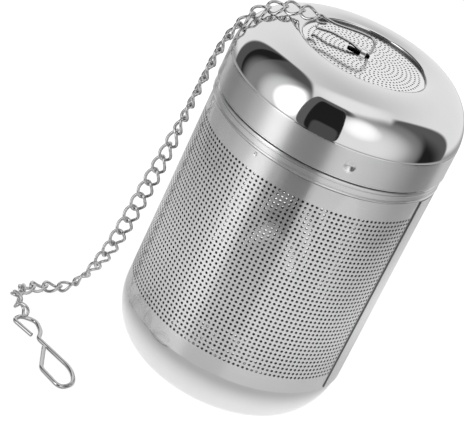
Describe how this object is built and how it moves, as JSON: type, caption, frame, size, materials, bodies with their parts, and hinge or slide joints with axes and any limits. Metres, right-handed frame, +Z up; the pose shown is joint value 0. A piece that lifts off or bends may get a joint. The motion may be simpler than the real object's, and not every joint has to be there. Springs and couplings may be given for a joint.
{
  "type": "tea infuser",
  "caption": "Perforated steel cylinder with a domed twist-lock lid, a rounded base, a curb chain and a wire hook for the cup's rim.",
  "frame": {"origin": "on the table, on the cylinder's axis", "axes": "+Z up along the cylinder; the chain leaves the lid towards -X and lies in front of it, towards -Y"},
  "size_m": [0.076, 0.0675, 0.0901],
  "materials": {
    "polished_steel": "mirror-polished stainless steel, with a brushed skirt on the lid",
    "perforated_steel": "fine perforated stainless sheet, smooth and bright",
    "satin_steel": "turned satin stainless steel",
    "steel_wire": "bright drawn stainless wire"
  },
  "bodies": {
    "basket": {"basket_wall": "perforated_steel", "neck_ring": "satin_steel", "base_cup": "polished_steel", "base_disc": "perforated_steel"},
    "chain": {"chain_over_lid": "steel_wire", "chain_hanging": "steel_wire", "chain_on_table": "steel_wire"},
    "lid": {"lid_shell": "polished_steel", "lid_disc": "perforated_steel"},
    "lid_hook": {"lid_hook": "steel_wire"},
    "cup_hook": {"cup_hook": "steel_wire"}
  },
  "joints": [
    {"name": "lid_lift", "type": "slide", "parent": "basket", "child": "chain", "axis": [0, 0, 1], "range_m": [0, 0.04]},
    {"name": "lid_turn", "type": "hinge", "parent": "chain", "child": "lid", "pos_m": [0, 0, 0.0721], "axis": [0, 0, 1], "range_deg": [-20, 0]},
    {"name": "lid_hook_swing", "type": "hinge", "parent": "chain", "child": "lid_hook", "pos_m": [-0.0005, 0.00105, 0.0867], "axis": [0, 1, 0], "range_deg": [0, 20]},
    {"name": "cup_hook_swing", "type": "hinge", "parent": "chain", "child": "cup_hook", "pos_m": [-0.0426, -0.0216, 0.0005], "axis": [0, 0, 1], "range_deg": [-40, 40]}
  ]
}
